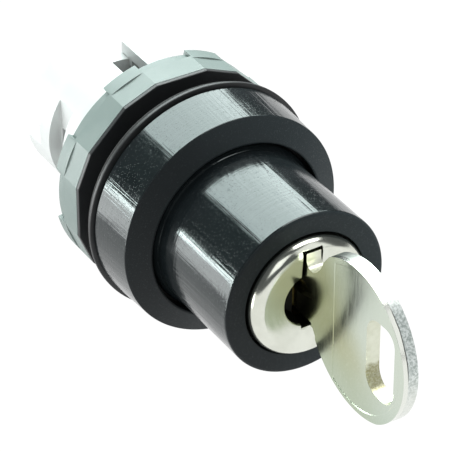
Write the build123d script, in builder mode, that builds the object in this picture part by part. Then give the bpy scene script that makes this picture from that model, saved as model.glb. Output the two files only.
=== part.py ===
from build123d import *
from math import sin, cos, radians, pi, sqrt
import os

os.makedirs("parts", exist_ok=True)

# Panel-mounted key selector switch, 22 mm series, in millimetres.
# The axis of the switch is Y.  The front (key side) faces -Y, the contact side +Y,
# +Z is twelve o'clock.  The origin is on the axis, in the plane of the panel's front
# face, where the sealing gasket seats.

# ---------------------------------------------------------------- driving dimensions
BEZEL_R_FRONT = 14.82      # edge of the bezel's cone
BEZEL_R_REAR = 15.15       # foot of the bezel (draft)
Y_BEZEL_EDGE = -8.5        # edge between bezel side and cone
Y_BEZEL_LIP = -10.1        # inner lip of the cone
R_LIP = 11.75
Y_BEZEL_FOOT = -1.7

RIM_R = 15.6               # thin seating rim behind the bezel
RIM_Y0, RIM_Y1 = -1.4, -0.9
GASKET_R, GASKET_BORE = 15.2, 11.15

SPIGOT_R = 11.1            # through the 22.3 mm panel hole
NECK_R = 10.9              # shallow neck inside the gasket
SPIGOT_BORE = 9.9
PLAIN_END = 2.9            # end of the plain spigot, start of the thread
THREAD_END = 9.3
THREAD_R, THREAD_ROOT, THREAD_PITCH = 11.0, 10.4, 1.5

BARREL_R = 10.9
Y_BARREL_FRONT = -25.3
BARREL_BORE = 8.25

NUT_R = 15.15              # corners of the sixteen-sided nut
NUT_Y0, NUT_Y1 = 3.5, 8.5
NUT_LUG_Y = 6.9            # the short sides carry lugs behind this station
NUT_FLANGE_R = 14.7
LONG_HALF, SHORT_HALF = 13.25, 9.25   # half angles of the long and short sides, degrees
WASHER_Y0 = 2.9
NUT_BORE, WASHER_BORE = 11.1, 11.2

HOUSING_R, HOUSING_BORE = 10.2, 8.6
Y_HOUSING_END = 21.5       # end of the tube between the arms
Y_ARMS_END = 25.5

CAP_R = 8.0                # turning metal face of the lock
Y_CAP_RIM, Y_CAP_REAR = -26.8, -23.8
CAP_ROUND = 1.5            # rounding of its outer edge
CAP_RECESS_R, CAP_FLOOR = 3.6, -24.5
NOTCH_R, NOTCH_W, SLOT_R = 7.15, 2.72, 3.8

PLUG_R = 6.0
STATOR_BORE = 6.05
STATOR_R = 8.15

KEY_T = 2.0
BOW_R, BOW_Y, BOW_Z = 10.05, -37.25, 1.0
FLAT_R, FLAT_Y, FLAT_Z = 10.85, -37.9, 2.2   # larger circle that flattens the bow's lower side
PANEL_R, PANEL_Y, PANEL_Z = 9.2, -37.15, 1.15  # recessed panel of the bow
PANEL_CHORD = -32.75
SHOULDER_Y, SHOULDER_Z = -26.95, 6.9
BLADE_TIP = -3.6
BLADE_HALF = 4.0
BLADE_LOW = 3.6

CAM_STROKE = 3.0           # plunger stroke over the quarter turn
CAM_BASE = 8.0
PLUNGER_X = 5.2
TIP_R = 1.3

WAFER_Y = [-21.0 + 2.9 * i for i in range(6)]


def cross(y):
    """Drawing plane across the axis at station y: local x = X, local y = Z, extrude(-d) goes to +Y."""
    return Plane(origin=(0, y, 0), x_dir=(1, 0, 0), z_dir=(0, -1, 0))


def polar(r, theta):
    """Point at radius r, theta degrees from twelve o'clock towards -X."""
    return (-r * sin(radians(theta)), r * cos(radians(theta)))


def wedge(theta0, theta1, far=40):
    """Corner points of a wide wedge from the axis, for sector cuts."""
    n = max(1, int(abs(theta1 - theta0) // 40) + 1)
    return [(0, 0)] + [polar(far, theta0 + (theta1 - theta0) * i / n) for i in range(n + 1)]


def sixteen(radius):
    """Outline of the nut: eight long sides centred on twelve o'clock and eight short ones between."""
    pts = []
    for k in range(8):
        pts.append(polar(radius, 45 * k - LONG_HALF))
        pts.append(polar(radius, 45 * k + LONG_HALF))
    return pts


# ---------------------------------------------------------------- 1 bezel ring
with BuildPart() as bezel_ring:
    with BuildSketch(Plane.XY):
        with BuildLine():
            Polyline(
                (13.7, Y_BEZEL_FOOT), (BEZEL_R_REAR, Y_BEZEL_FOOT), (BEZEL_R_FRONT, Y_BEZEL_EDGE),
                (R_LIP, Y_BEZEL_LIP), (R_LIP, -9.0), (13.1, -8.1), (13.7, -7.3), close=True,
            )
        make_face()
        fillet(vertices().sort_by_distance((BEZEL_R_FRONT, Y_BEZEL_EDGE))[0], 0.2)
        fillet(vertices().sort_by_distance((R_LIP, Y_BEZEL_LIP))[0], 0.25)
    revolve(axis=Axis.Y)
bezel_ring.part.label = "bezel_ring"
export_step(bezel_ring.part, "parts/bezel_ring.step")

# ---------------------------------------------------------------- 2 barrel sleeve
PIN_Y, PIN_R = -3.2, 0.75
with BuildPart() as barrel_sleeve:
    with BuildSketch(Plane.XY):
        with BuildLine():
            Polyline(
                (BARREL_BORE, Y_BARREL_FRONT), (BARREL_R, Y_BARREL_FRONT), (BARREL_R + 0.05, -9.9),
                (11.3, -9.3), (11.45, -8.9), (11.45, -7.0), (9.9, -7.0), (9.9, -5.6), (8.95, -5.6),
                (8.95, -4.4), (9.9, -4.4), (9.9, 0.0), (7.05, 0.0), (7.05, -2.0), (BARREL_BORE, -2.0),
                close=True,
            )
        make_face()
        fillet(vertices().sort_by_distance((BARREL_R, Y_BARREL_FRONT))[0], 0.45)
        fillet(vertices().sort_by_distance((BARREL_BORE, Y_BARREL_FRONT))[0], 0.12)
    revolve(axis=Axis.Y)
    # hole for the pin that keeps the lock from turning, at six o'clock
    with BuildSketch(Plane.XY.offset(-7.4)):
        with Locations((0, PIN_Y)):
            Circle(PIN_R)
    extrude(amount=-4, mode=Mode.SUBTRACT)
barrel_sleeve.part.label = "barrel_sleeve"
export_step(barrel_sleeve.part, "parts/barrel_sleeve.step")

# ---------------------------------------------------------------- 3 spigot body (rim, boss and threaded spigot)
thread = []
y = PLAIN_END + 0.35
while y + THREAD_PITCH < THREAD_END + 0.01:
    thread += [(THREAD_ROOT, y), (THREAD_ROOT, y + 0.35), (THREAD_R, y + 0.75), (THREAD_R, y + 1.1)]
    y += THREAD_PITCH
with BuildPart() as spigot_body:
    with BuildSketch(Plane.XY):
        with BuildLine():
            Polyline(
                *([(11.5, -7.0), (13.7, -7.0), (13.7, RIM_Y0), (RIM_R, RIM_Y0), (RIM_R, RIM_Y1),
                   (NECK_R, RIM_Y1), (NECK_R, 0), (SPIGOT_R, 0), (SPIGOT_R, PLAIN_END)] + thread +
                  [(THREAD_ROOT, THREAD_END - 0.25), (THREAD_ROOT, THREAD_END), (SPIGOT_BORE, THREAD_END),
                   (SPIGOT_BORE, -7.0)]),
                close=True,
            )
        make_face()
    revolve(axis=Axis.Y)
spigot_body.part.label = "spigot_body"
export_step(spigot_body.part, "parts/spigot_body.step")

# ---------------------------------------------------------------- 4 panel gasket
with BuildPart() as panel_gasket:
    with BuildSketch(cross(RIM_Y1)):
        Circle(GASKET_R)
        Circle(GASKET_BORE, mode=Mode.SUBTRACT)
    extrude(amount=RIM_Y1)
panel_gasket.part.label = "panel_gasket"
export_step(panel_gasket.part, "parts/panel_gasket.step")

# ---------------------------------------------------------------- 5 clamp washer
with BuildPart() as clamp_washer:
    with BuildSketch(cross(WASHER_Y0)):
        with BuildLine():
            Polyline(*sixteen(NUT_R), close=True)
        make_face()
        Circle(WASHER_BORE, mode=Mode.SUBTRACT)
    extrude(amount=-(NUT_Y0 - WASHER_Y0))
clamp_washer.part.label = "clamp_washer"
export_step(clamp_washer.part, "parts/clamp_washer.step")

# ---------------------------------------------------------------- 6 fixing nut
with BuildPart() as fixing_nut:
    with BuildSketch(cross(NUT_Y0)):
        with BuildLine():
            Polyline(*sixteen(NUT_R), close=True)
        make_face()
        Circle(NUT_BORE, mode=Mode.SUBTRACT)
    extrude(amount=-(NUT_LUG_Y - NUT_Y0))
    with BuildSketch(cross(NUT_LUG_Y)):
        Circle(NUT_FLANGE_R)
        Circle(NUT_BORE, mode=Mode.SUBTRACT)
    extrude(amount=-(NUT_Y1 - 0.4 - NUT_LUG_Y))
    # eight square lugs behind the short sides
    for k in range(8):
        with BuildSketch(cross(NUT_LUG_Y)):
            Circle(NUT_R)
            with BuildLine():
                Polyline(*wedge(45 * k + 22.5 - SHORT_HALF, 45 * k + 22.5 + SHORT_HALF), close=True)
            make_face(mode=Mode.INTERSECT)
            Circle(13.2, mode=Mode.SUBTRACT)
        extrude(amount=-(NUT_Y1 - NUT_LUG_Y))
fixing_nut.part.label = "fixing_nut"
export_step(fixing_nut.part, "parts/fixing_nut.step")

# ---------------------------------------------------------------- 7 rear housing (white)
DETENT_Y = 6.6
SCREWS = [40, 220]         # boss positions, degrees
with BuildPart() as rear_housing:
    with BuildSketch(Plane.XY):
        with BuildLine():
            Polyline(
                (HOUSING_BORE, 4.5), (SPIGOT_BORE, 4.5), (SPIGOT_BORE, THREAD_END), (HOUSING_R, THREAD_END),
                (HOUSING_R, Y_ARMS_END - 0.8), (HOUSING_R - 0.5, Y_ARMS_END), (HOUSING_BORE, Y_ARMS_END),
                (HOUSING_BORE, 19.5), (7.6, 19.5), (7.6, 18.7), (HOUSING_BORE, 18.7),
                (HOUSING_BORE, 7.7), (8.95, 7.4), (8.95, 5.8), (HOUSING_BORE, 5.5), close=True,
            )
        make_face()
    revolve(axis=Axis.Y)
    # bosses for the two screws of the guide plate
    with BuildSketch(cross(14.0)):
        with Locations(*[polar(7.3, a) for a in SCREWS]):
            Circle(1.6)
    extrude(amount=-5.5)
    with BuildSketch(cross(14.5)):
        with Locations(*[polar(7.0, a) for a in SCREWS]):
            Circle(0.8)
    extrude(amount=-5.5, mode=Mode.SUBTRACT)
    # four detent pockets in the inner wall
    for b in (45, 135, 225, 315):
        with Locations(Location((8.35 * sin(radians(b)), DETENT_Y, 8.35 * cos(radians(b))), (0, b, 0))):
            Cylinder(1.05, 0.9, align=(Align.CENTER, Align.CENTER, Align.MIN), mode=Mode.SUBTRACT)
    # twelve o'clock slot
    with BuildSketch(Plane.XY):
        with BuildLine():
            Polyline((-1.8, 14.0), (1.8, 14.0), (1.8, 21.3), (5.0, Y_ARMS_END), (5.0, 27), (-5.0, 27),
                     (-5.0, Y_ARMS_END), (-1.8, 21.3), close=True)
        make_face()
    extrude(amount=14, mode=Mode.SUBTRACT)
    # gaps between the arms, left, right and bottom
    for t0, t1 in ((62.6, 100), (260, 297.4), (152, 208)):
        with BuildSketch(cross(Y_HOUSING_END)):
            with BuildLine():
                Polyline(*wedge(t0, t1), close=True)
            make_face()
        extrude(amount=-8, mode=Mode.SUBTRACT)
    # chordal latch notches on both sides
    for s in (-1, 1):
        with BuildSketch(Plane.XY.offset(-12)):
            with Locations((s * (8.4 + 2), 17.25)):
                Rectangle(4, 3.5)
        extrude(amount=24, mode=Mode.SUBTRACT)
rear_housing.part.label = "rear_housing"
export_step(rear_housing.part, "parts/rear_housing.step")

# ---------------------------------------------------------------- 8 guide plate
with BuildPart() as guide_plate:
    with BuildSketch(cross(19.5)):
        Circle(8.55)
        with Locations((-PLUNGER_X, 0), (PLUNGER_X, 0)):
            Circle(1.55, mode=Mode.SUBTRACT)
        with Locations(*[polar(7.0, a) for a in SCREWS]):
            Circle(0.9, mode=Mode.SUBTRACT)
    extrude(amount=-1.8)
    with BuildSketch(cross(21.3)):
        Circle(2.6)
        Circle(1.6, mode=Mode.SUBTRACT)
    extrude(amount=-0.5)
guide_plate.part.label = "guide_plate"
export_step(guide_plate.part, "parts/guide_plate.step")

# ---------------------------------------------------------------- 9 guide plate screws
with BuildPart() as plate_screws:
    with BuildSketch(cross(15.0)):
        with Locations(*[polar(7.0, a) for a in SCREWS]):
            Circle(0.8)
    extrude(amount=-6.3)
    with BuildSketch(cross(21.3)):
        with Locations(*[polar(7.0, a) for a in SCREWS]):
            Circle(1.45)
    extrude(amount=-0.8)
    with BuildSketch(cross(21.7)):
        with Locations(*[Location((*polar(7.0, a), 0), (0, 0, 30)) for a in SCREWS]):
            Rectangle(2.2, 0.35)
            Rectangle(0.35, 2.2)
    extrude(amount=-1, mode=Mode.SUBTRACT)
plate_screws.part.label = "plate_screws"
export_step(plate_screws.part, "parts/plate_screws.step")

# ---------------------------------------------------------------- 10 lock stator (die-cast cylinder)
with BuildPart() as lock_stator:
    with BuildSketch(Plane.XY):
        with BuildLine():
            Polyline(
                (STATOR_BORE, -22.9), (STATOR_R, -22.9), (STATOR_R, -2.0), (7.0, -2.0), (7.0, 4.2),
                (STATOR_BORE, 4.2), close=True,
            )
        make_face()
    revolve(axis=Axis.Y)
    # wafer channels above and below the plug
    with BuildSketch(cross(-21.9)):
        Rectangle(6.7, 14.4)
    extrude(amount=-17.4, mode=Mode.SUBTRACT)
    # stop sector at the rear end of the neck: a quarter turn plus the width of the cam's lug
    with BuildSketch(cross(3.0)):
        with BuildLine():
            Polyline(*wedge(9.5, -99.5), close=True)
        make_face()
    extrude(amount=-2, mode=Mode.SUBTRACT)
    # hole for the locating pin
    with BuildSketch(Plane.XY.offset(-7.4)):
        with Locations((0, PIN_Y)):
            Circle(PIN_R)
    extrude(amount=-4, mode=Mode.SUBTRACT)
lock_stator.part.label = "lock_stator"
export_step(lock_stator.part, "parts/lock_stator.step")

# ---------------------------------------------------------------- 11 lock nut
with BuildPart() as lock_nut:
    with BuildSketch(cross(0.0)):
        RegularPolygon(9.6, 6)
        Circle(7.0, mode=Mode.SUBTRACT)
    extrude(amount=-2.2)
lock_nut.part.label = "lock_nut"
export_step(lock_nut.part, "parts/lock_nut.step")

# ---------------------------------------------------------------- 12 locating pin
with BuildPart() as locating_pin:
    with BuildSketch(Plane.XY.offset(-7.4)):
        with Locations((0, PIN_Y)):
            Circle(PIN_R)
    extrude(amount=-2.4)
locating_pin.part.label = "locating_pin"
export_step(locating_pin.part, "parts/locating_pin.step")

# ---------------------------------------------------------------- 13 sleeve o-ring
with BuildPart() as sleeve_o_ring:
    with BuildSketch(Plane.XY):
        with Locations((9.425, -5.0)):
            Circle(0.46)
    revolve(axis=Axis.Y)
sleeve_o_ring.part.label = "sleeve_o_ring"
export_step(sleeve_o_ring.part, "parts/sleeve_o_ring.step")

# ---------------------------------------------------------------- 14 dust seal behind the turning face
with BuildPart() as dust_seal:
    with BuildSketch(cross(-23.6)):
        Circle(STATOR_R)
        Circle(6.2, mode=Mode.SUBTRACT)
    extrude(amount=-0.7)
dust_seal.part.label = "dust_seal"
export_step(dust_seal.part, "parts/dust_seal.step")

# ---------------------------------------------------------------- 15 turning metal face of the lock
with BuildPart() as plug_cap:
    with BuildSketch(Plane.XY):
        with BuildLine():
            k = CAP_ROUND * (1 - sqrt(0.5))
            a1 = Polyline((0, Y_CAP_REAR), (CAP_R, Y_CAP_REAR), (CAP_R, Y_CAP_RIM + CAP_ROUND))
            a2 = ThreePointArc((CAP_R, Y_CAP_RIM + CAP_ROUND), (CAP_R - k, Y_CAP_RIM + k), (CAP_R - CAP_ROUND, Y_CAP_RIM))
            a3 = ThreePointArc((CAP_R - CAP_ROUND, Y_CAP_RIM), (5.1, -26.62), (CAP_RECESS_R, -26.5))
            a4 = Polyline((CAP_RECESS_R, -26.5), (3.05, -24.9), (2.95, CAP_FLOOR), (0, CAP_FLOOR), (0, Y_CAP_REAR))
        make_face()
    revolve(axis=Axis.Y)
    # notch for the key's shoulder at twelve o'clock, key slot down to six o'clock
    with BuildSketch(cross(-28)):
        with Locations((0, NOTCH_R / 2)):
            Rectangle(NOTCH_W, NOTCH_R)
        with Locations((0, -SLOT_R / 2)):
            Rectangle(NOTCH_W, SLOT_R)
    extrude(amount=-6, mode=Mode.SUBTRACT)
plug_cap.part.label = "plug_cap"
export_step(plug_cap.part, "parts/plug_cap.step")

# ---------------------------------------------------------------- 16 lock plug
with BuildPart() as lock_plug:
    with BuildSketch(cross(Y_CAP_REAR)):
        Circle(PLUG_R)
    extrude(amount=-(4.9 - Y_CAP_REAR))
    with BuildSketch(cross(4.9)):
        Circle(3.0)
        Rectangle(4.6, 7, mode=Mode.INTERSECT)
    extrude(amount=-5.4)
    # groove for the retaining clip
    with BuildSketch(cross(8.1)):
        Circle(3.3)
        Circle(2.1, mode=Mode.SUBTRACT)
    extrude(amount=-0.6, mode=Mode.SUBTRACT)
    # keyway
    with BuildSketch(cross(Y_CAP_REAR)):
        Rectangle(2.1, 8.2)
    extrude(amount=-21.0, mode=Mode.SUBTRACT)
    # wafer slots, spring holes and ear slots
    for yw in WAFER_Y:
        with BuildSketch(cross(yw - 0.5)):
            Rectangle(6.5, 13)
            with Locations((3.95, 4)):
                Rectangle(1.7, 6.9)
        extrude(amount=-1.0, mode=Mode.SUBTRACT)
        with BuildSketch(Plane.XY.offset(-3.4)):
            with Locations((3.95, yw)):
                Circle(0.72)
        extrude(amount=4.2, mode=Mode.SUBTRACT)
lock_plug.part.label = "lock_plug"
export_step(lock_plug.part, "parts/lock_plug.step")

# ---------------------------------------------------------------- 17 tumbler wafers
with BuildPart() as tumbler_wafers:
    for yw in WAFER_Y:
        with BuildSketch(cross(yw - 0.45)):
            Rectangle(6.4, 10.0)
            with Locations((3.9, 1.25)):
                Rectangle(1.5, 0.9)
            Rectangle(2.3, 8.4, mode=Mode.SUBTRACT)
        extrude(amount=-0.9)
tumbler_wafers.part.label = "tumbler_wafers"
export_step(tumbler_wafers.part, "parts/tumbler_wafers.step")

# ---------------------------------------------------------------- 18 wafer springs
with BuildPart() as wafer_springs:
    for yw in WAFER_Y:
        with BuildLine() as coil:
            Helix(pitch=0.75, height=3.75, radius=0.5, center=(3.95, yw, -3.2))
        with BuildSketch(Plane(origin=coil.line @ 0, z_dir=coil.line % 0)):
            Circle(0.11)
        sweep(path=coil.line)
wafer_springs.part.label = "wafer_springs"
export_step(wafer_springs.part, "parts/wafer_springs.step")

# ---------------------------------------------------------------- 19 key
with BuildPart() as key:
    with BuildSketch(Plane.YZ.offset(-KEY_T / 2)):
        with Locations((BOW_Y, BOW_Z)):
            Circle(BOW_R)
        with Locations((FLAT_Y, FLAT_Z)):
            Circle(FLAT_R, mode=Mode.INTERSECT)
        # open corner between the bow and the shoulder
        with BuildLine():
            c1 = Polyline((-31.6, 9.35), (-31.6, 13), (SHOULDER_Y, 13), (SHOULDER_Y, 5.95))
            c2 = ThreePointArc((SHOULDER_Y, 5.95), (-27.2, 5.4), (-27.75, 5.15))
            c3 = Line((-27.75, 5.15), (-28.3, 5.15))
            c4 = ThreePointArc((-28.3, 5.15), (-29.6, 6.2), (-30.5, 7.9))
            c5 = Line((-30.5, 7.9), (-31.6, 9.35))
        make_face(mode=Mode.SUBTRACT)
        # neck and shoulder
        with BuildLine():
            Polyline((-31, 5.15), (-27.75, 5.15), (-27.2, 5.4), (SHOULDER_Y, 5.95), (SHOULDER_Y, SHOULDER_Z),
                     (-24.0, SHOULDER_Z), (-24.0, -BLADE_LOW), (-28.4, -BLADE_LOW), (-31, -BLADE_LOW), close=True)
        make_face()
        # blade with bitting along its upper edge
        with BuildLine():
            cuts = [(-25.0, BLADE_HALF)]
            for yw, d in zip(WAFER_Y, (0.9, 1.6, 0.6, 1.3, 1.6, 0.9)):
                cuts += [(yw - 1.1, BLADE_HALF), (yw - 0.5, BLADE_HALF - d), (yw + 0.5, BLADE_HALF - d), (yw + 1.1, BLADE_HALF)]
            Polyline(*([(-25.0, -BLADE_LOW)] + cuts + [(-4.9, 2.6), (BLADE_TIP, 0.0), (-5.6, -BLADE_LOW)]), close=True)
        make_face()
        # slot for the key ring
        with Locations((-42.4, 1.22)):
            RectangleRounded(5.6, 10.4, 2.2, mode=Mode.SUBTRACT)
    extrude(amount=KEY_T)
    # shallow recessed panels on both faces of the bow
    for x0, d in ((-KEY_T / 2, 0.18), (KEY_T / 2, -0.18)):
        with BuildSketch(Plane.YZ.offset(x0)):
            with Locations((PANEL_Y, PANEL_Z)):
                Circle(PANEL_R)
            with Locations((PANEL_CHORD - 10, PANEL_Z)):
                Rectangle(20, 24, mode=Mode.INTERSECT)
        extrude(amount=d, mode=Mode.SUBTRACT)
    # milled profile grooves of the blade on the -X face
    with BuildSketch(Plane.YZ.offset(-KEY_T / 2)):
        with BuildLine():
            Polyline((-28.45, 1.7), (-28.2, 2.05), (-26.6, 2.8), (-2, 2.8), (-2, 0.7), (-25.8, 0.7), (-28.2, 1.35), close=True)
        make_face()
        with BuildLine():
            Polyline((-28.05, -2.1), (-2, -2.1), (-2, -5.0), (-29.0, -5.0), (-29.0, -3.5), close=True)
        make_face()
    extrude(amount=0.7, mode=Mode.SUBTRACT)
key.part.label = "key"
export_step(key.part, "parts/key.step")

# ---------------------------------------------------------------- 20 drive cam
with BuildPart() as drive_cam:
    with BuildSketch(cross(5.2)):
        Circle(8.0)
    extrude(amount=-(CAM_BASE - 5.2))
    # two helical ramps, each a constant slope over a quarter turn
    for lobe in (0, 180):
        for b, h in ((90, 0.0), (75, 0.5), (60, 1.0), (45, 1.5), (30, 2.0), (15, 2.5), (0, 3.0), (-9, 3.0), (-18, 3.0)):
            c, s = cos(radians(b + lobe)), sin(radians(b + lobe))
            top = CAM_BASE + h * CAM_STROKE / 3.0
            with BuildSketch(Plane(origin=(0, 0, 0), x_dir=(s, 0, c), z_dir=(-c, 0, s))):
                with BuildLine():
                    Polyline((3.7, 6.0), (7.0, 6.0), (7.0, top), (3.7, top), close=True)
                make_face()
        loft(ruled=True)
    # bore for the plug's flatted tail
    with BuildSketch(cross(4)):
        Circle(3.0)
        Rectangle(4.6, 7, mode=Mode.INTERSECT)
    extrude(amount=-8, mode=Mode.SUBTRACT)
    # stop lug in front
    with BuildSketch(cross(3.2)):
        Circle(6.9)
        with BuildLine():
            Polyline(*wedge(8, -8), close=True)
        make_face(mode=Mode.INTERSECT)
        Circle(6.2, mode=Mode.SUBTRACT)
    extrude(amount=-2.4)
    # radial holes for the detent balls
    for b in (45, 225):
        with Locations(Location((4.2 * sin(radians(b)), DETENT_Y, 4.2 * cos(radians(b))), (0, b, 0))):
            Cylinder(0.95, 5, align=(Align.CENTER, Align.CENTER, Align.MIN), mode=Mode.SUBTRACT)
drive_cam.part.label = "drive_cam"
export_step(drive_cam.part, "parts/drive_cam.step")

# ---------------------------------------------------------------- 21 retaining clip of the cam
with BuildPart() as cam_clip:
    with BuildSketch(cross(8.12)):
        Circle(3.5)
        Circle(2.15, mode=Mode.SUBTRACT)
        with Locations((0, -3)):
            Rectangle(2.6, 5, mode=Mode.SUBTRACT)
    extrude(amount=-0.5)
cam_clip.part.label = "cam_clip"
export_step(cam_clip.part, "parts/cam_clip.step")

# ---------------------------------------------------------------- 22 detent balls
with BuildPart() as detent_balls:
    with Locations(*[(7.98 * sin(radians(b)), DETENT_Y, 7.98 * cos(radians(b))) for b in (45, 225)]):
        Sphere(0.9)
detent_balls.part.label = "detent_balls"
export_step(detent_balls.part, "parts/detent_balls.step")

# ---------------------------------------------------------------- 23 detent springs
with BuildPart() as detent_springs:
    for b in (45, 225):
        u = Vector(sin(radians(b)), 0, cos(radians(b)))
        with BuildLine() as coil:
            Helix(pitch=0.6, height=2.4, radius=0.62, center=u * 4.4 + Vector(0, DETENT_Y, 0), direction=u)
        with BuildSketch(Plane(origin=coil.line @ 0, z_dir=coil.line % 0)):
            Circle(0.12)
        sweep(path=coil.line)
detent_springs.part.label = "detent_springs"
export_step(detent_springs.part, "parts/detent_springs.step")

# ---------------------------------------------------------------- 24, 25 contact plungers
ARC = PLUNGER_X * pi / 2
TIP_Y = CAM_BASE + TIP_R * sqrt(1 + (CAM_STROKE / ARC) ** 2) + 0.06
PLUNGER_END = 22.4


def plunger_profile(x0):
    """Half outline of a plunger whose axis stands at X = x0."""
    Line((x0, TIP_Y - TIP_R), (x0, PLUNGER_END))
    Polyline((x0, PLUNGER_END), (x0 + 1.2, PLUNGER_END), (x0 + 1.5, PLUNGER_END - 0.3), (x0 + 1.5, 13.5),
             (x0 + 2.2, 13.5), (x0 + 2.2, 12.5), (x0 + TIP_R, 12.5), (x0 + TIP_R, TIP_Y))
    ThreePointArc((x0 + TIP_R, TIP_Y), (x0 + TIP_R * cos(pi / 4), TIP_Y - TIP_R * sin(pi / 4)), (x0, TIP_Y - TIP_R))


with BuildPart() as plunger_left:
    with BuildSketch(Plane.XY):
        with BuildLine():
            plunger_profile(-PLUNGER_X)
        make_face()
    revolve(axis=Axis((-PLUNGER_X, 0, 0), (0, 1, 0)))
plunger_left.part.label = "plunger_left"
export_step(plunger_left.part, "parts/plunger_left.step")

with BuildPart() as plunger_right:
    with BuildSketch(Plane.XY):
        with BuildLine():
            plunger_profile(PLUNGER_X)
        make_face()
    revolve(axis=Axis((PLUNGER_X, 0, 0), (0, 1, 0)))
plunger_right.part.label = "plunger_right"
export_step(plunger_right.part, "parts/plunger_right.step")

# ---------------------------------------------------------------- 26, 27 plunger return springs
with BuildPart() as plunger_spring_left:
    with BuildLine() as coil:
        Helix(pitch=1.1, height=5.5, radius=1.86, center=(-PLUNGER_X, 13.72, 0), direction=(0, 1, 0))
    with BuildSketch(Plane(origin=coil.line @ 0, z_dir=coil.line % 0)):
        Circle(0.2)
    sweep(path=coil.line)
plunger_spring_left.part.label = "plunger_spring_left"
export_step(plunger_spring_left.part, "parts/plunger_spring_left.step")

with BuildPart() as plunger_spring_right:
    with BuildLine() as coil:
        Helix(pitch=1.1, height=5.5, radius=1.86, center=(PLUNGER_X, 13.72, 0), direction=(0, 1, 0))
    with BuildSketch(Plane(origin=coil.line @ 0, z_dir=coil.line % 0)):
        Circle(0.2)
    sweep(path=coil.line)
plunger_spring_right.part.label = "plunger_spring_right"
export_step(plunger_spring_right.part, "parts/plunger_spring_right.step")
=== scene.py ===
import math

import bmesh
import bpy
import numpy as np
from mathutils import Matrix, Vector


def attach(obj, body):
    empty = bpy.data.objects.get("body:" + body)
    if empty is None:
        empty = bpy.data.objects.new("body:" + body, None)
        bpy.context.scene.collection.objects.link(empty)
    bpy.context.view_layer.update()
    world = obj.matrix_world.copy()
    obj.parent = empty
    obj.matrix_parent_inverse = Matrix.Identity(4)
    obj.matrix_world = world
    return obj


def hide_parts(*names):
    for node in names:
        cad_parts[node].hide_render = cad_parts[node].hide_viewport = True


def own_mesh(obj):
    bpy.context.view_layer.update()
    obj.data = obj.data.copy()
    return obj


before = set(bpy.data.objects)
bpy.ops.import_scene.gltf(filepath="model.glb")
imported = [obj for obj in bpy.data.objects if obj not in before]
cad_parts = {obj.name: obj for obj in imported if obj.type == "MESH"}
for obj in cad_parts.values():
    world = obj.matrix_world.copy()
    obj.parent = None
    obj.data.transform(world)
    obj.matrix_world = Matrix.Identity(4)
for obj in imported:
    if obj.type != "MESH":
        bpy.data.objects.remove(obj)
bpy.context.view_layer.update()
MM = 0.001
scene = bpy.context.scene

# ------------------------------------------------------------------ camera
AZ, EL = math.radians(-31.1), math.radians(34.3)
right = Vector((math.cos(AZ), math.sin(AZ), 0))
back = Vector((math.sin(AZ) * math.cos(EL), -math.cos(AZ) * math.cos(EL), math.sin(EL)))
up = back.cross(right)
where = Vector((0, -8.5, 0)) - 0.6388 * right - 0.2099 * up + 363.2 * back
cam = bpy.data.cameras.new("camera")
cam.lens = 3000 / 452 * 36
cam.sensor_width = 36
cam.clip_start = 0.01
cam_ob = bpy.data.objects.new("camera", cam)
scene.collection.objects.link(cam_ob)
cam_ob.matrix_world = Matrix((
    (right.x, up.x, back.x, where.x * MM),
    (right.y, up.y, back.y, where.y * MM),
    (right.z, up.z, back.z, where.z * MM),
    (0, 0, 0, 1)))
scene.camera = cam_ob
scene.view_settings.view_transform = "Standard"
scene.view_settings.look = "None"


# ------------------------------------------------------------------ mesh tools
def polar(r, theta):
    """(x, z) at radius r, theta degrees from twelve o'clock towards -X."""
    t = math.radians(theta)
    return -r * math.sin(t), r * math.cos(t)


def new_object(name, verts, faces):
    me = bpy.data.meshes.new(name)
    me.from_pydata([tuple(c * MM for c in v) for v in verts], [], faces)
    me.validate()
    bm = bmesh.new()
    bm.from_mesh(me)
    bmesh.ops.recalc_face_normals(bm, faces=bm.faces)
    bm.to_mesh(me)
    bm.free()
    ob = bpy.data.objects.new(name, me)
    scene.collection.objects.link(ob)
    return ob


def rounded(pts, steps=5):
    """Closed outline with its corners rounded: each point is (a, b) or (a, b, radius)."""
    out = []
    n = len(pts)
    for i, p in enumerate(pts):
        r = p[2] if len(p) > 2 else 0
        here = Vector(p[:2])
        if r <= 0:
            out.append(tuple(here))
            continue
        d0 = (Vector(pts[i - 1][:2]) - here)
        d1 = (Vector(pts[(i + 1) % n][:2]) - here)
        l0, l1 = d0.length, d1.length
        d0.normalize()
        d1.normalize()
        half = d0.angle(d1) / 2
        cut = min(r / math.tan(half), l0 * 0.49, l1 * 0.49)
        r = cut * math.tan(half)
        centre = here + (d0 + d1).normalized() * (r / math.sin(half))
        a, b = here + d0 * cut - centre, here + d1 * cut - centre
        turn = a.angle_signed(b)
        for k in range(steps + 1):
            q = a.copy()
            q.rotate(Matrix.Rotation(-turn * k / steps, 2))
            out.append(tuple(centre + q))
    return out


def lathe(name, outline, seg=256, radius=None):
    """Solid of revolution about Y of a closed (r, y) outline; radius(r, y, theta) may change r."""
    verts, index = [], []
    for j, (r, y) in enumerate(outline):
        if r < 1e-6:
            index.append([len(verts)] * seg)
            verts.append((0, y, 0))
            continue
        row = []
        for i in range(seg):
            t = 360 * i / seg
            rr = radius(r, y, t) if radius else r
            x, z = polar(rr, t)
            row.append(len(verts))
            verts.append((x, y, z))
        index.append(row)
    faces = []
    n = len(outline)
    for j in range(n):
        a, b = index[j], index[(j + 1) % n]
        for i in range(seg):
            k = (i + 1) % seg
            f = []
            for v in (a[i], a[k], b[k], b[i]):
                if v not in f:
                    f.append(v)
            if len(f) > 2:
                faces.append(f)
    return new_object(name, verts, faces)


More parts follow.
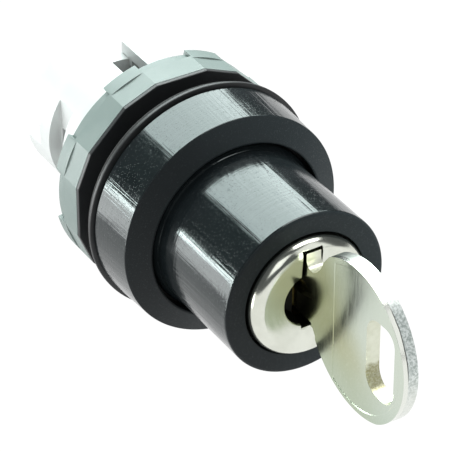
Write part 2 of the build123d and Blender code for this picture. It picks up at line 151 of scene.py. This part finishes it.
def prism(name, outline, lo, hi, axis="Y"):
    """Straight prism: outline in the plane across the axis, between lo and hi (mm)."""
    def place(p, h):
        a, b = p
        return {"Y": (a, h, b), "Z": (a, b, h), "X": (h, a, b)}[axis]
    n = len(outline)
    verts = [place(p, lo) for p in outline] + [place(p, hi) for p in outline]
    faces = [list(range(n))[::-1], list(range(n, 2 * n))]
    faces += [[i, (i + 1) % n, n + (i + 1) % n, n + i] for i in range(n)]
    return new_object(name, verts, faces)


def tube_wedge(name, t0, t1, r, lo, hi, step=4):
    n = max(1, int(abs(t1 - t0) / step))
    return prism(name, [(0, 0)] + [polar(r, t0 + (t1 - t0) * i / n) for i in range(n + 1)], lo, hi)


def ring_sector(name, t0, t1, r0, r1, lo, hi, step=1.0):
    n = max(2, int(abs(t1 - t0) / step))
    a = [polar(r1, t0 + (t1 - t0) * i / n) for i in range(n + 1)]
    b = [polar(r0, t1 + (t0 - t1) * i / n) for i in range(n + 1)]
    return prism(name, a + b, lo, hi)


def bake(ob):
    """Applies the object's modifiers to its mesh."""
    bpy.context.view_layer.update()
    dg = bpy.context.evaluated_depsgraph_get()
    me = bpy.data.meshes.new_from_object(ob.evaluated_get(dg))
    ob.modifiers.clear()
    ob.data = me
    return ob


def boolean(ob, op, others):
    for o in others:
        m = ob.modifiers.new("cut", "BOOLEAN")
        m.operation = op
        m.solver = "EXACT"
        m.object = o
        bake(ob)
        bpy.data.objects.remove(o)
    return ob


def cut(ob, *others):
    return boolean(ob, "DIFFERENCE", others)


def join(ob, *others):
    return boolean(ob, "UNION", others)


def bevel(ob, width, angle=30, segments=3):
    bm = bmesh.new()
    bm.from_mesh(ob.data)
    bmesh.ops.remove_doubles(bm, verts=bm.verts, dist=1e-7)
    bmesh.ops.dissolve_limit(bm, angle_limit=math.radians(0.05), verts=bm.verts, edges=bm.edges)
    bm.to_mesh(ob.data)
    bm.free()
    m = ob.modifiers.new("bevel", "BEVEL")
    m.width = width * MM
    m.segments = segments
    m.limit_method = "ANGLE"
    m.angle_limit = math.radians(angle)
    m.miter_outer = "MITER_ARC"
    m.use_clamp_overlap = True
    return bake(ob)


def smooth(ob, angle=30, weighted=True):
    ob.data.shade_smooth()
    ob.data.set_sharp_from_angle(angle=math.radians(angle))
    if weighted:
        m = ob.modifiers.new("normals", "WEIGHTED_NORMAL")
        m.keep_sharp = True
        m.weight = 60
    return ob


# ------------------------------------------------------------------ materials
class Nodes:
    """Small helper to write node trees."""

    def __init__(self, name):
        self.m = bpy.data.materials.new(name)
        self.m.use_nodes = True
        self.t = self.m.node_tree
        self.b = self.t.nodes["Principled BSDF"]
        self.xyz = None

    def node(self, kind, inputs=(), **props):
        n = self.t.nodes.new(kind)
        for k, v in props.items():
            setattr(n, k, v)
        for k, v in dict(inputs).items():
            self.put(n.inputs[k], v)
        return n

    def put(self, socket, v):
        if isinstance(v, bpy.types.NodeSocket):
            self.t.links.new(v, socket)
        else:
            socket.default_value = v

    def math(self, op, a, b=0.0, clamp=False):
        return self.node("ShaderNodeMath", {0: a, 1: b}, operation=op, use_clamp=clamp).outputs[0]

    def co(self):
        if self.xyz is None:
            tc = self.node("ShaderNodeTexCoord").outputs["Object"]
            s = self.node("ShaderNodeSeparateXYZ", {0: tc})
            self.vec, self.xyz = tc, s.outputs
        return self.xyz

    def around(self, radius, y_scale=1.0, offset=(0, 0)):
        """Coordinates unrolled from a round part: arc length, y * y_scale, zero."""
        x, y, z = self.co()
        px = self.math("ADD", x, offset[0]) if offset[0] else x
        ang = self.math("ARCTAN2", px, z)
        arc = self.math("MULTIPLY", ang, radius)
        yy = self.math("MULTIPLY", y, y_scale)
        return self.node("ShaderNodeCombineXYZ", {0: arc, 1: yy, 2: 0.0}).outputs[0]

    def stretched(self, sx, sy, sz):
        x, y, z = self.co()
        return self.node("ShaderNodeCombineXYZ", {
            0: self.math("MULTIPLY", x, sx), 1: self.math("MULTIPLY", y, sy), 2: self.math("MULTIPLY", z, sz)}).outputs[0]

    def noise(self, scale, detail=3, rough=0.55, vec=None, distortion=0.0):
        self.co()
        return self.node("ShaderNodeTexNoise", {"Vector": vec if vec is not None else self.vec, "Scale": scale,
                                                "Detail": detail, "Roughness": rough, "Distortion": distortion}).outputs[0]

    def span(self, v, a, b, lo, hi, smooth_=True):
        n = self.node("ShaderNodeMapRange", {0: v, 1: a, 2: b, 3: lo, 4: hi},
                      interpolation_type="SMOOTHSTEP" if smooth_ else "LINEAR")
        return n.outputs[0]

    def mix(self, fac, a, b):
        n = self.node("ShaderNodeMix", data_type="RGBA")
        self.put(n.inputs[0], fac)
        self.put(n.inputs[6], a if isinstance(a, bpy.types.NodeSocket) else (*a, 1))
        self.put(n.inputs[7], b if isinstance(b, bpy.types.NodeSocket) else (*b, 1))
        return n.outputs[2]

    def mixf(self, fac, a, b):
        n = self.node("ShaderNodeMix", data_type="FLOAT")
        self.put(n.inputs[0], fac)
        self.put(n.inputs[2], a)
        self.put(n.inputs[3], b)
        return n.outputs[0]

    def bump(self, height, strength, distance, normal=None):
        n = self.node("ShaderNodeBump", {"Height": height, "Strength": strength, "Distance": distance})
        if normal is not None:
            self.put(n.inputs["Normal"], normal)
        return n.outputs[0]

    def done(self, colour=None, rough=None, normal=None, metal=0.0, spec=0.5, ior=1.5, **more):
        if colour is not None:
            self.put(self.b.inputs["Base Color"], colour if isinstance(colour, bpy.types.NodeSocket) else (*colour, 1))
        if rough is not None:
            self.put(self.b.inputs["Roughness"], rough)
        if normal is not None:
            self.put(self.b.inputs["Normal"], normal)
        self.b.inputs["Metallic"].default_value = metal
        self.b.inputs["Specular IOR Level"].default_value = spec
        self.b.inputs["IOR"].default_value = ior
        for k, v in more.items():
            self.put(self.b.inputs[k.replace("_", " ")], v)
        return self.m


def black_side(name, radius):
    """Glossy moulded black of a turned side, with fine axial drawing lines and fainter hoops."""
    n = Nodes(name)
    lines = n.noise(2600, 2, 0.6, vec=n.around(radius * MM, 0.02))
    broad = n.noise(700, 2, 0.5, vec=n.around(radius * MM, 0.02))
    patch = n.noise(220, 2, 0.5, vec=n.around(radius * MM, 0.35))
    hoops = n.noise(3200, 2, 0.5, vec=n.stretched(0.02, 1, 0.02))
    dust = n.span(n.noise(5200, 2, 0.6), 0.62, 0.75, 0.0, 1.0)
    strength = n.span(patch, 0.42, 0.62, 0.25, 1.0)
    h = n.math("ADD", n.math("MULTIPLY", lines, strength), n.math("MULTIPLY", broad, 0.8))
    h = n.math("ADD", h, n.math("ADD", n.math("MULTIPLY", hoops, 0.30), n.math("MULTIPLY", dust, 0.25)))
    rough = n.span(lines, 0.3, 0.7, 0.08, 0.17)
    col = n.mix(n.span(patch, 0.3, 0.7, 0, 1), (0.0070, 0.0100, 0.0112), (0.0105, 0.0140, 0.0152))
    return n.done(col, rough, n.bump(h, 0.9, 0.00005), spec=0.60, ior=1.5, Specular_Tint=(0.90, 1.0, 0.99, 1.0))


def black_front(name):
    """Finely grained, semi-matte black of the front faces, with small brighter flecks; painted light makes the faces
    lighter towards +X, where the flecks also show more.
    """
    n = Nodes(name)
    grain = n.noise(9000, 2, 0.6)
    fleck = n.span(n.noise(5200, 3, 0.7), 0.55, 0.72, 0.0, 1.0)
    cloud = n.noise(140, 2, 0.5)
    x, y, z = n.co()
    # painted light: the front faces ramp from near-black at -X to dark grey at +X, and the flecks are made stronger on
    # the lighter side
    painted_light_ramp = n.span(n.math("ADD", x, n.math("MULTIPLY", n.math("SUBTRACT", cloud, 0.5), 0.006)), -14 * MM, 16 * MM, 0, 1)
    col = n.mix(painted_light_ramp, (0.0090, 0.0125, 0.0138), (0.026, 0.037, 0.041))
    col = n.mix(n.math("MULTIPLY", fleck, n.span(painted_light_ramp, 0.3, 1, 0.25, 0.9)), col, (0.060, 0.076, 0.080))
    h = n.math("ADD", n.math("MULTIPLY", grain, 1.4), n.math("MULTIPLY", fleck, 1.4))
    return n.done(col, n.span(fleck, 0, 1, 0.52, 0.38), n.bump(h, 0.4, 0.00002), spec=0.22, ior=1.45)


def plain_plastic(name, dark, light, rough=(0.35, 0.5), grain=6000, strength=0.25, spec=0.5, **more):
    n = Nodes(name)
    a = n.noise(grain, 3, 0.6)
    b = n.noise(180, 3, 0.5)
    col = n.mix(n.span(b, 0.3, 0.7, 0, 1), dark, light)
    r = n.span(a, 0.3, 0.7, rough[0], rough[1])
    return n.done(col, r, n.bump(a, strength, 0.00003), spec=spec, **more)


def metal(name, dark, light, rough=(0.2, 0.32), brush=(1, 1, 1), brush_scale=2500, strength=0.2):
    n = Nodes(name)
    lines = n.noise(brush_scale, 3, 0.6, vec=n.stretched(*brush))
    cloud = n.noise(260, 3, 0.55)
    speck = n.span(n.noise(3500, 2, 0.5), 0.6, 0.75, 0, 1)
    col = n.mix(n.span(cloud, 0.3, 0.7, 0, 1), dark, light)
    r = n.math("ADD", n.span(lines, 0.3, 0.7, rough[0], rough[1]), n.math("MULTIPLY", n.span(cloud, 0.4, 0.7, 0, 1), 0.05))
    h = n.math("ADD", lines, n.math("MULTIPLY", speck, 0.3))
    return n.done(col, r, n.bump(h, strength, 0.00002), metal=1.0)


BLACK_BEZEL = black_side("black_bezel_side", 15)
BLACK_BARREL = black_side("black_barrel_side", 10.9)
BLACK_FRONT = black_front("black_front")
BLACK_MATTE = plain_plastic("black_matte", (0.012, 0.014, 0.015), (0.018, 0.020, 0.021), (0.38, 0.5), 7000, 0.3)
RUBBER = plain_plastic("gasket_rubber", (0.010, 0.011, 0.011), (0.016, 0.017, 0.017), (0.6, 0.75), 5000, 0.45, spec=0.3)
NUT = plain_plastic("nut_grey", (0.180, 0.230, 0.216), (0.212, 0.262, 0.247), (0.42, 0.52), 6000, 0.25)
WHITE = plain_plastic("white_plastic", (0.585, 0.610, 0.600), (0.635, 0.655, 0.645), (0.32, 0.42), 4000, 0.15)
ROD = plain_plastic("plunger_plastic", (0.70, 0.72, 0.68), (0.76, 0.77, 0.73), (0.3, 0.4), 4000, 0.15)


def cap_nickel():
    """Polished nickel; painted shade makes the recess and the notch walls near-black and duller."""
    n = Nodes("nickel_cap")
    x, y, z = n.co()
    rad = n.math("SQRT", n.math("ADD", n.math("MULTIPLY", x, x), n.math("MULTIPLY", z, z)))
    ang = n.math("ARCTAN2", x, z)
    turned = n.noise(1.0, 2, 0.5, vec=n.node("ShaderNodeCombineXYZ", {
        0: n.math("MULTIPLY", ang, 0.6), 1: n.math("MULTIPLY", rad, 5200.0), 2: n.math("MULTIPLY", y, 1500.0)}).outputs[0])
    cloud = n.noise(300, 3, 0.55)
    # painted shade: near-black colour deep in the recess and on the notch walls, where shadow falls
    painted_recess_shade = n.math("MULTIPLY", n.span(y, -26.42 * MM, -26.15 * MM, 0, 1), n.span(rad, 7.14 * MM, 7.2 * MM, 1, 0))
    col = n.mix(n.span(cloud, 0.3, 0.7, 0, 1), (0.66, 0.68, 0.60), (0.74, 0.76, 0.68))
    col = n.mix(painted_recess_shade, col, (0.018, 0.018, 0.016))
    r = n.mixf(painted_recess_shade, n.math("ADD", n.span(turned, 0.3, 0.7, 0.13, 0.19), n.math("MULTIPLY", cloud, 0.05)), 0.5)
    return n.done(col, r, n.bump(n.math("ADD", turned, cloud), 0.12, 0.00001), metal=1.0)


def key_nickel():
    """Plated key face with painted reflection: olive near the lock, cooler and lighter towards the ring slot, greener
    low down; faint rolling lines.
    """
    n = Nodes("nickel_key")
    x, y, z = n.co()
    lines = n.noise(2600, 3, 0.6, vec=n.stretched(0.3, 1, 0.12))
    cloud = n.noise(160, 2, 0.5)
    fine = n.noise(3200, 2, 0.5)
    place = n.math("ADD", n.math("ADD", y, n.math("MULTIPLY", z, -0.55)), n.math("MULTIPLY", n.math("SUBTRACT", cloud, 0.5), 0.004))
    # painted reflection: colour ramps from olive near the lock to light grey-green towards the ring slot
    painted_reflection_ramp = n.span(place, -32.5 * MM, -42.5 * MM, 0, 1)
    col = n.mix(painted_reflection_ramp, (0.435, 0.455, 0.285), (0.595, 0.655, 0.565))
    # painted reflection: the lower part of the face is painted greener
    painted_reflection_low = n.span(n.math("ADD", z, n.math("MULTIPLY", y, -0.05)), 1.5 * MM, -6 * MM, 0, 1)
    col = n.mix(n.math("MULTIPLY", painted_reflection_low, 0.6), col, (0.46, 0.555, 0.465))
    col = n.mix(n.span(fine, 0.55, 0.8, 0, 0.25), col, (0.75, 0.78, 0.70))
    r = n.math("ADD", n.span(lines, 0.3, 0.7, 0.15, 0.21), n.math("MULTIPLY", n.span(cloud, 0.4, 0.7, 0, 1), 0.04))
    return n.done(col, r, n.bump(lines, 0.10, 0.00001), metal=1.0)


def key_edge():
    """Punched edge: smooth sheared band on one side, a thin dark tear line, rough fractured band on the other."""
    n = Nodes("nickel_key_edge")
    x, y, z = n.co()
    wave = n.noise(900, 2, 0.5)
    xe = n.math("ADD", x, n.math("MULTIPLY", n.math("SUBTRACT", wave, 0.5), 0.00012))
    torn = n.span(xe, -0.42 * MM, -0.30 * MM, 0, 1)
    line = n.math("MULTIPLY", n.span(xe, -0.46 * MM, -0.38 * MM, 0, 1), n.span(xe, -0.36 * MM, -0.26 * MM, 1, 0))
    line = n.math("MULTIPLY", line, n.math("MULTIPLY", n.span(z, 0.5 * MM, 3.0 * MM, 0, 1), n.span(y, -43.0 * MM, -44.0 * MM, 0, 1)))
    torn = n.math("MULTIPLY", torn, n.math("MULTIPLY", n.span(z, -3.0 * MM, 3.5 * MM, 0.25, 1), n.span(y, -41.0 * MM, -44.0 * MM, 0.3, 1)))
    pits = n.noise(3000, 3, 0.7)
    col = n.mix(torn, (0.78, 0.80, 0.74), n.mix(n.span(pits, 0.35, 0.65, 0, 1), (0.36, 0.41, 0.39), (0.74, 0.79, 0.77)))
    col = n.mix(line, col, (0.05, 0.055, 0.05))
    r = n.mixf(torn, 0.22, 0.42)
    h = n.mixf(torn, 0.0, pits)
    return n.done(col, r, n.bump(h, 0.5, 0.00006), metal=1.0)


def slot_nickel():
    """Softly rounded wall of the key ring slot, with a brownish worn patch low down."""
    n = Nodes("nickel_key_slot")
    x, y, z = n.co()
    cloud = n.noise(900, 3, 0.6)
    pits = n.noise(3600, 2, 0.6)
    brown = n.math("MULTIPLY", n.span(n.math("ADD", z, n.math("MULTIPLY", n.math("SUBTRACT", cloud, 0.5), 0.002)), -0.9 * MM, -1.7 * MM, 0, 1),
                   n.span(y, -41.6 * MM, -40.9 * MM, 0, 1))
    col = n.mix(n.span(cloud, 0.3, 0.7, 0, 1), (0.66, 0.68, 0.55), (0.74, 0.76, 0.64))
    col = n.mix(brown, col, n.mix(n.span(pits, 0.35, 0.65, 0, 1), (0.30, 0.29, 0.17), (0.46, 0.46, 0.33)))
    return n.done(col, n.span(pits, 0.3, 0.7, 0.30, 0.42), n.bump(pits, 0.25, 0.00003), metal=1.0)


KEY_SLOT = slot_nickel()
NICKEL = cap_nickel()
KEY_NICKEL = key_nickel()
KEY_EDGE = key_edge()
DIE_CAST = metal("die_cast", (0.42, 0.42, 0.40), (0.52, 0.52, 0.50), (0.38, 0.5), (1, 1, 1), 3000, 0.4)
BRASS = metal("brass", (0.62, 0.47, 0.22), (0.74, 0.57, 0.29), (0.22, 0.34), (1, 0.1, 1), 2500, 0.2)
STEEL = metal("spring_steel", (0.50, 0.50, 0.49), (0.62, 0.62, 0.61), (0.2, 0.3), (1, 1, 1), 4000, 0.1)


def paint(ob, material):
    ob.data.materials.clear()
    ob.data.materials.append(material)
    return ob


def paint_where(ob, material, test):
    """Second material on the faces that pass the test (normal, centre in mm)."""
    ob.data.materials.append(material)
    k = len(ob.data.materials) - 1
    for f in ob.data.polygons:
        if test(f.normal, f.center / MM):
            f.material_index = k
    return ob


def faces_front(normal, centre):
    return normal.y < -0.6


# ------------------------------------------------------------------ black shells
bezel = lathe("bezel_shell", rounded([
    (13.7, -1.7), (15.15, -1.7, 0.18), (14.82, -8.5, 0.22), (11.75, -10.1, 0.22), (11.75, -9.0), (13.1, -8.1, 0.4),
    (13.7, -7.3, 0.4)], 6), 320)
smooth(bezel, 40)
paint(bezel, BLACK_BEZEL)
paint_where(bezel, BLACK_FRONT, faces_front)
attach(bezel, "root")
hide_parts("bezel_ring")

PARTING = 350.6   # degrees, position of the moulded parting line


def with_parting(r, y, t):
    """Fine raised parting line along the barrel, fading over half a degree."""
    d = abs((t - PARTING + 180) % 360 - 180)
    return r + (0.035 * max(0.0, 1 - d / 0.55) if r > 10.0 else 0)


barrel = lathe("barrel_shell", rounded([
    (8.25, -25.3, 0.12), (10.9, -25.3, 0.45), (10.92, -10.3), (10.95, -9.9, 0.3), (11.3, -9.3, 0.3), (11.45, -8.9, 0.2),
    (11.45, -7.0), (9.9, -7.0), (9.9, -5.6), (8.95, -5.6), (8.95, -4.4), (9.9, -4.4), (9.9, 0.0, 0.1), (7.05, 0.0),
    (7.05, -2.0), (8.25, -2.0)], 6), 720, with_parting)
smooth(barrel, 40)
paint(barrel, BLACK_BARREL)
paint_where(barrel, BLACK_FRONT, faces_front)
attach(barrel, "root")
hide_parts("barrel_sleeve")

# spigot body with its rim and a helical thread
rows = []
y = 3.0
while y < 9.2:
    rows.append(y)
    y += 0.125


def threaded(r, y, t):
    if r < 10.5 or y < 3.05 or y > 9.1 or r > 11.05:
        return r
    phase = ((y - 3.25) / 1.5 - t / 360) % 1
    shape = max(0.0, min(1.0, 3.2 - abs(phase - 0.5) * 9)) if abs(phase - 0.5) < 0.36 else 0.0
    fade = max(0.0, min(1.0, (y - 3.05) / 0.3)) * max(0.0, min(1.0, (9.1 - y) / 0.3))
    return 10.4 + 0.58 * shape * fade


spigot = lathe("spigot_and_rim", rounded([
    (9.9, -7.0), (13.7, -7.0, 0.2), (13.7, -1.4), (15.6, -1.4, 0.12), (15.6, -0.9, 0.12), (10.9, -0.9), (10.9, 0.0), (11.1, 0.0), (11.1, 2.9, 0.08)], 4)
    + [(10.6, y) for y in rows] + [(10.4, 9.25), (10.3, 9.3), (9.9, 9.3)], 180, threaded)
smooth(spigot, 35, False)
paint(spigot, BLACK_MATTE)
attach(spigot, "root")
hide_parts("spigot_body")

gasket = lathe("panel_gasket_ring", rounded([
    (11.17, -0.9), (15.2, -0.9, 0.05), (15.2, 0.0, 0.3), (14.3, 0.0, 0.1), (14.1, -0.2, 0.1), (13.4, -0.2, 0.1), (13.2, 0.0, 0.1),
    (11.17, 0.0, 0.1)], 4), 256)
smooth(gasket, 40)
paint(gasket, RUBBER)
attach(gasket, "root")
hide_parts("panel_gasket")


# ------------------------------------------------------------------ nut and washer
def sixteen(r):
    pts = []
    for k in range(8):
        pts += [polar(r, 45 * k - 13.25), polar(r, 45 * k + 13.25)]
    return pts


def circle(r, n=192):
    return [polar(r, 360 * i / n) for i in range(n)]


washer = prism("clamp_washer_plate", sixteen(15.14), 2.9, 3.5)
cut(washer, prism("c", circle(11.2), 2, 5))
bevel(washer, 0.1, 30, 2)
smooth(washer, 18)
paint(washer, BLACK_MATTE)
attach(washer, "washer")
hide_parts("clamp_washer")

nut = prism("fixing_nut_body", sixteen(15.14), 3.5, 6.9)
join(nut, prism("c", circle(14.7), 6.7, 8.1))
lugs = []
for k in range(8):
    lugs.append(ring_sector("c", 45 * k + 22.5 - 9.1, 45 * k + 22.5 + 9.1, 13.25, 15.14, 6.5, 8.5))
join(nut, *lugs)
cut(nut, prism("c", circle(11.12), 3, 9))
bevel(nut, 0.16, 30, 3)
smooth(nut, 16)
paint(nut, NUT)
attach(nut, "nut")
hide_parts("fixing_nut")

# ------------------------------------------------------------------ white rear housing
rear = lathe("rear_housing_shell", rounded([
    (8.6, 4.5), (9.9, 4.5, 0.2), (9.9, 9.3), (10.2, 9.3, 0.08), (10.2, 25.5, 0.55), (8.6, 25.5, 0.3), (8.6, 19.5), (7.6, 19.5),
    (7.6, 18.7), (8.6, 18.7), (8.6, 7.7), (8.95, 7.4), (8.95, 5.8), (8.6, 5.5)], 5), 240)
cut(rear,
    prism("c", [(-1.8, 14.0), (1.8, 14.0), (1.8, 21.3), (5.0, 25.5), (5.0, 27), (-5.0, 27), (-5.0, 25.5), (-1.8, 21.3)], 0, 14, "Z"),
    tube_wedge("c", 62.6, 100, 30, 21.5, 30), tube_wedge("c", 260, 297.4, 30, 21.5, 30), tube_wedge("c", 152, 208, 30, 21.5, 30),
    prism("c", [(-14, 15.5), (-8.4, 15.5), (-8.4, 19.0), (-14, 19.0)], -12, 12, "Z"),
    prism("c", [(8.4, 15.5), (14, 15.5), (14, 19.0), (8.4, 19.0)], -12, 12, "Z"))
bevel(rear, 0.13, 35, 3)
smooth(rear, 32)
paint(rear, WHITE)
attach(rear, "root")
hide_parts("rear_housing")

# ------------------------------------------------------------------ turning metal face
dish = [(0, -23.8), (7.93, -23.8), (8.0, -23.87)]
dish += [(6.5 + 1.5 * math.cos(math.radians(a)), -25.3 - 1.5 * math.sin(math.radians(a))) for a in range(0, 91, 6)]
dish += [(5.8, -26.72), (5.1, -26.645), (4.4, -26.575), (3.82, -26.52), (3.70, -26.49), (3.62, -26.43), (3.57, -26.34),
         (3.05, -24.9), (2.95, -24.5), (0, -24.5)]
cap = lathe("lock_face", dish, 288)
cut(cap, prism("c", [(-1.36, 0), (1.36, 0), (1.36, 7.15), (-1.36, 7.15)], -28, -22),
    prism("c", [(-1.36, -3.8), (1.36, -3.8), (1.36, 0.1), (-1.36, 0.1)], -28, -22))
bevel(cap, 0.07, 40, 2)
smooth(cap, 35)
paint(cap, NICKEL)
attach(cap, "rotor")
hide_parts("plug_cap")

# ------------------------------------------------------------------ key
BOW_Y, BOW_Z, BOW_R = -37.25, 1.0, 10.05
FLAT_Y, FLAT_Z, FLAT_R = -37.9, 2.2, 10.85


def bow_point(a):
    """Point of the bow's outline in direction a (degrees, in the y, z plane): two circles, the smaller reach wins."""
    d = Vector((math.cos(math.radians(a)), math.sin(math.radians(a))))
    q = Vector((BOW_Y - FLAT_Y, BOW_Z - FLAT_Z))
    b = d.dot(q)
    reach = min(BOW_R, -b + math.sqrt(b * b - q.length_squared + FLAT_R ** 2))
    return BOW_Y + reach * d.x, BOW_Z + reach * d.y


def curve3(a, m, b, n=8):
    """Points of the arc from a to b that passes through m."""
    a, m, b = Vector(a), Vector(m), Vector(b)
    c = 2 * m - 0.5 * (a + b)
    return [tuple((1 - t) ** 2 * a + 2 * t * (1 - t) * c + t * t * b) for t in [i / n for i in range(n + 1)]]


# outline in (y, z), from the lower neck round the bow to the shoulder and along the blade
outline = [(-28.7, -3.6)] + [bow_point(-29 - (275.1) * i / 160) for i in range(161)]
outline += curve3((-30.5, 7.9), (-29.6, 6.2), (-28.3, 5.15)) + curve3((-27.75, 5.15), (-27.2, 5.4), (-26.95, 5.95), 5)
outline += [(-26.95, 6.9), (-24.3, 6.9), (-24.0, 6.6), (-24.0, 4.0)]
for yw, d in zip([-21.0 + 2.9 * i for i in range(6)], (0.9, 1.6, 0.6, 1.3, 1.6, 0.9)):
    outline += [(yw - 1.1, 4.0), (yw - 0.5, 4.0 - d), (yw + 0.5, 4.0 - d), (yw + 1.1, 4.0)]
outline += [(-4.9, 2.6), (-3.6, 0.0), (-5.6, -3.6)]
key = prism("key_blank", outline, -1.0, 1.0, "X")
slot_pts = rounded([(-45.2, -3.98, 2.2), (-39.6, -3.98, 2.4), (-39.6, 6.42, 2.4), (-45.2, 6.42, 1.9)], 12)
cut(key, prism("c", slot_pts, -3, 3, "X"))
PANEL_Y, PANEL_Z, PANEL_R, CHORD = -37.15, 1.15, 9.2, -32.75
panel = []
for a in range(0, 361, 2):
    py, pz = PANEL_Y + PANEL_R * math.cos(math.radians(a)), PANEL_Z + PANEL_R * math.sin(math.radians(a))
    panel.append((min(py, CHORD), pz))
clean = []
for p in panel:
    if not clean or (Vector(p) - Vector(clean[-1])).length > 0.15:
        clean.append(p)
if (Vector(clean[0]) - Vector(clean[-1])).length < 0.15:
    clean.pop()
# keep only the ends of the chord
chord = [p for p in clean if abs(p[0] - CHORD) < 1e-6]
zs = sorted(p[1] for p in chord)
clean = [p for p in clean if abs(p[0] - CHORD) > 1e-6 or p[1] in (zs[0], zs[-1])]


def tapered(name, pts, x_out, x_in, inset):
    """Shallow panel cutter whose wall slopes in by inset between x_out and x_in."""
    cy, cz = sum(p[0] for p in pts) / len(pts), sum(p[1] for p in pts) / len(pts)
    small = []
    for p in pts:
        v = Vector((p[0] - cy, p[1] - cz))
        v *= (v.length - inset) / v.length
        small.append((cy + v.x, cz + v.y))
    n = len(pts)
    verts = [(x_out, *p) for p in pts] + [(x_in, *p) for p in small]
    faces = [list(range(n))[::-1], list(range(n, 2 * n))] + [[i, (i + 1) % n, n + (i + 1) % n, n + i] for i in range(n)]
    return new_object(name, verts, faces)


cut(key, tapered("c", clean, -1.02, -0.94, 0.14), tapered("c", clean, 1.02, 0.94, 0.14))
cut(key, prism("c", [(-28.45, 1.7), (-28.2, 2.05), (-26.6, 2.8), (-2, 2.8), (-2, 0.7), (-25.8, 0.7), (-28.2, 1.35)], -1.5, -0.3, "X"),
    prism("c", [(-28.05, -2.1), (-2, -2.1), (-2, -5.0), (-29.0, -5.0), (-29.0, -3.5)], -1.5, -0.3, "X"))
bevel(key, 0.16, 50, 3)
smooth(key, 24)
paint(key, KEY_NICKEL)
paint_where(key, KEY_EDGE, lambda n, c: abs(n.x) < 0.3 and c.y < -26.8)
paint_where(key, KEY_SLOT, lambda n, c: abs(n.x) < 0.3 and -31.8 < c.y < -26.8 and c.z > 4)
paint_where(key, KEY_SLOT, lambda n, c: abs(n.x) < 0.9 and -45.4 < c.y < -39.4 and -4.2 < c.z < 6.6)
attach(key, "key")
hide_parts("key")

# ------------------------------------------------------------------ return springs of the plungers
def coil_spring(name, x0, y0, y1, radius, wire, turns, around=14, steps=28):
    """Closed-end compression spring along Y: the pitch eases to nothing at both ends."""
    n = int(turns * steps)
    dead = 0.75 / turns

    def rise(t):
        free = max(0.0, min(1.0, (t - dead) / (1 - 2 * dead)))
        return y0 + wire * 2.05 * 0.75 * min(t, dead) / dead * 0.5 + (y1 - y0 - wire * 2.05 * 0.75) * free \
            + wire * 2.05 * 0.75 * max(0.0, t - 1 + dead) / dead * 0.5

    verts, faces = [], []
    for i in range(n + 1):
        t = i / n
        a = 2 * math.pi * turns * t
        out = Vector((math.cos(a), 0, math.sin(a)))
        c = Vector((x0, rise(t), 0)) + out * radius
        for k in range(around):
            b = 2 * math.pi * k / around
            verts.append(c + out * (wire * math.cos(b)) + Vector((0, wire * math.sin(b), 0)))
    for i in range(n):
        for k in range(around):
            m = (k + 1) % around
            faces.append([i * around + k, i * around + m, (i + 1) * around + m, (i + 1) * around + k])
    faces.append(list(range(around)))
    faces.append([n * around + k for k in range(around)][::-1])
    return new_object(name, verts, faces)


for side, x0 in (("left", -5.2), ("right", 5.2)):
    spring = coil_spring("return_spring_" + side, x0, 13.73, 19.27, 1.86, 0.2, 6)
    smooth(spring, 60, False)
    paint(spring, STEEL)
    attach(spring, "push_" + side)
    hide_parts("plunger_spring_" + side)
    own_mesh(spring)

# ------------------------------------------------------------------ CAD pieces that keep their shape
for name, material in {
    "guide_plate": WHITE, "plate_screws": STEEL, "lock_stator": DIE_CAST, "lock_nut": BRASS, "locating_pin": STEEL,
    "sleeve_o_ring": RUBBER, "dust_seal": RUBBER, "lock_plug": BRASS, "tumbler_wafers": BRASS, "wafer_springs": STEEL,
    "drive_cam": BLACK_MATTE, "cam_clip": STEEL, "detent_balls": STEEL, "detent_springs": STEEL, "plunger_left": ROD,
    "plunger_right": ROD,
}.items():
    paint(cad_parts[name], material)

# ------------------------------------------------------------------ floor and light
FLOOR_Z = -0.01562
me = bpy.data.meshes.new("floor")
S = 3.0
me.from_pydata([(-S, -S, FLOOR_Z), (S, -S, FLOOR_Z), (S, S, FLOOR_Z), (-S, S, FLOOR_Z)], [], [[0, 1, 2, 3]])
floor = bpy.data.objects.new("floor", me)
scene.collection.objects.link(floor)
n = Nodes("floor_white")
n.done((0.02, 0.02, 0.02), 0.9, spec=0.0)
n.b.inputs["Emission Color"].default_value = (1, 1, 1, 1)
n.b.inputs["Emission Strength"].default_value = 1.02
paint(floor, n.m)

world = bpy.data.worlds.new("world")
scene.world = world
world.use_nodes = True
bg = world.node_tree.nodes["Background"]
bg.inputs[0].default_value = (0.75, 0.8, 0.82, 1)
bg.inputs[1].default_value = 0.13


def area(name, at, look, sx, sy, power, colour=(1, 1, 1), camera_sees=False, spread=180):
    li = bpy.data.lights.new(name, "AREA")
    li.shape = "RECTANGLE"
    li.size, li.size_y = sx, sy
    li.energy = power
    li.color = colour
    li.spread = math.radians(spread)
    ob = bpy.data.objects.new(name, li)
    scene.collection.objects.link(ob)
    ob.location = at
    ob.rotation_euler = (Vector(look) - Vector(at)).to_track_quat("-Z", "Y").to_euler()
    ob.visible_camera = camera_sees
    return ob


# ceiling box above and behind, seen in the top of the barrel
area("top_box", (0.19, 0.55, 0.40), (0.19, 0.55, 0.0), 0.82, 0.70, 13.5, (0.90, 1.0, 0.985))
# low bright strip at the left, behind
area("horizon_strip", (-0.36, 0.33, 0.004), (0, -0.01, 0.0), 0.5, 0.035, 1.0, (0.92, 1.0, 0.99))
# light floor to the left and behind
area("floor_glow", (-0.30, 0.22, FLOOR_Z + 0.001), (-0.30, 0.22, 1.0), 0.5, 0.5, 3.0)
# overhead card for the key's upper edge
area("over_key", (0.24, 0.03, 0.55), (0.24, 0.03, 0.0), 0.46, 0.40, 2.5)
# weaker card ahead, seen in the front of the same edge and in the rounding of the lock face
area("ahead_card", (0.26, -0.48, 0.30), (0, -0.03, 0), 0.40, 0.62, 0.75)
# soft front fill
area("front_fill", (-0.35, -0.55, 0.55), (0, 0, 0), 0.5, 0.5, 1.0)
